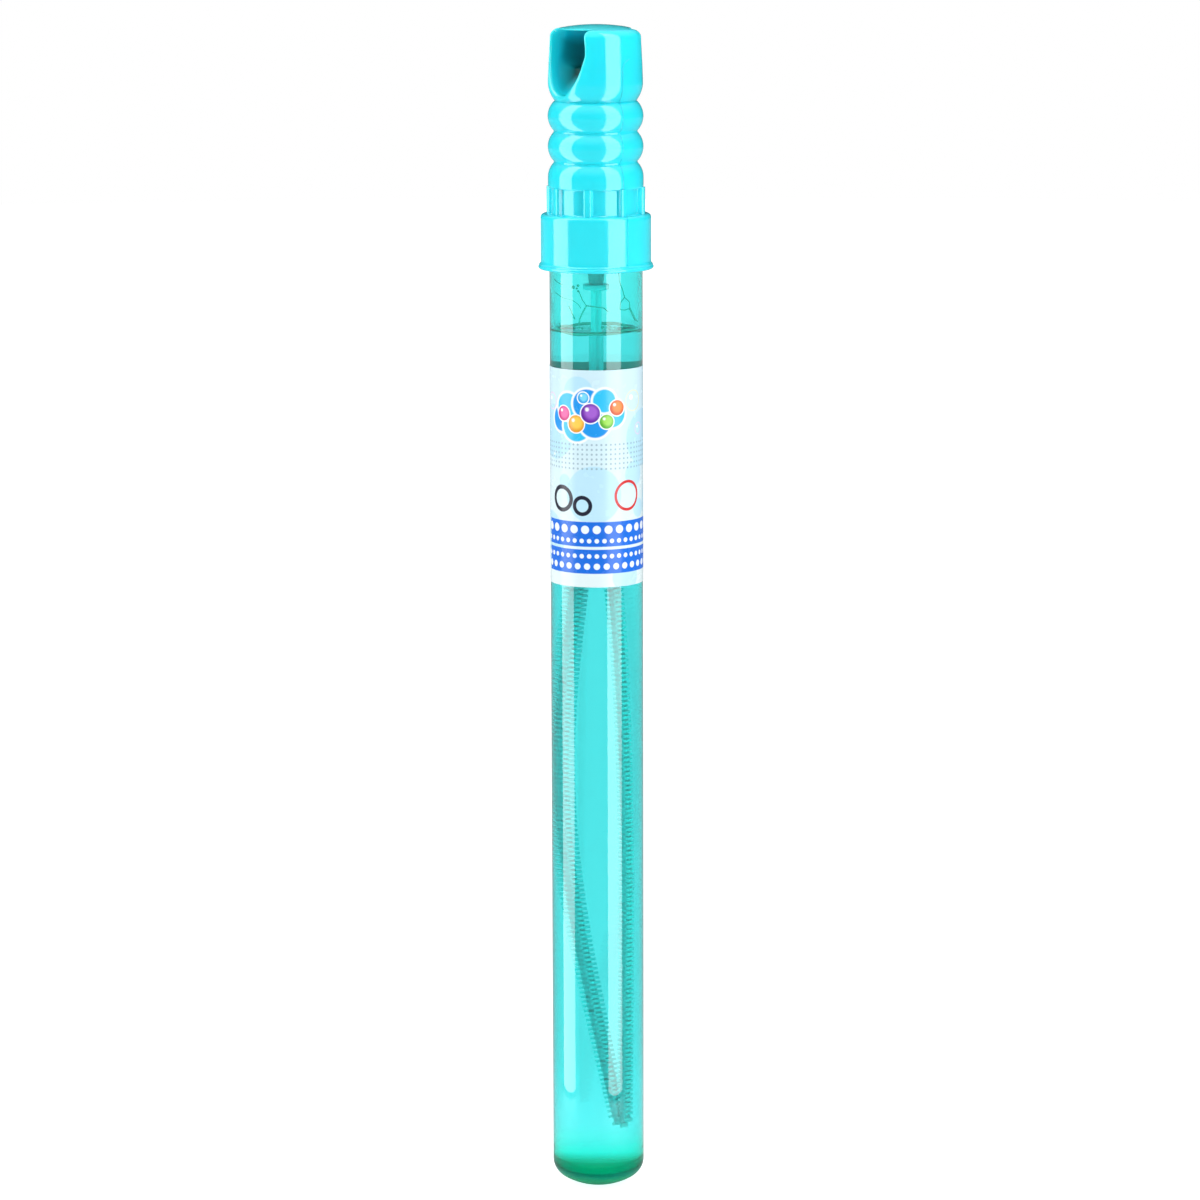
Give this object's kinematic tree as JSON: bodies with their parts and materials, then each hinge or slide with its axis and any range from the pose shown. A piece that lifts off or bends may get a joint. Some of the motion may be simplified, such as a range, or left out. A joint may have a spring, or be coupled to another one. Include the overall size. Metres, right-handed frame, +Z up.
{
  "type": "bubble wand",
  "caption": "Clear round-bottomed tube for bubble solution with a ringed screw-on handle that carries a long ridged loop wand.",
  "frame": {"origin": "lowest point of the tube's rounded bottom, on its axis", "axes": "+Z up along the tube's axis; the handle's mould parting plane is XZ, so the hanging eye runs along Y"},
  "size_m": [0.0358, 0.0358, 0.3699],
  "materials": {
    "clear_tube": "clear tinted, glossy",
    "label_film": "printed glossy film",
    "seal": "soft white washer",
    "handle_plastic": "glossy moulded",
    "wand_plastic": "glossy moulded"
  },
  "bodies": {
    "tube_body": {"tube": "clear_tube", "label": "label_film"},
    "seal": {"seal_washer": "seal"},
    "wand_body": {"handle": "handle_plastic", "inner_plug": "handle_plastic", "wand": "wand_plastic"}
  },
  "joints": [
    {"name": "wand_draw", "type": "slide", "parent": "tube_body", "child": "seal", "axis": [0, 0, 1], "range_m": [0, 0.3]},
    {"name": "cap_turn", "type": "hinge", "parent": "seal", "child": "wand_body", "pos_m": [0, 0, 0.3], "axis": [0, 0, 1], "range_deg": [0, 540]}
  ]
}
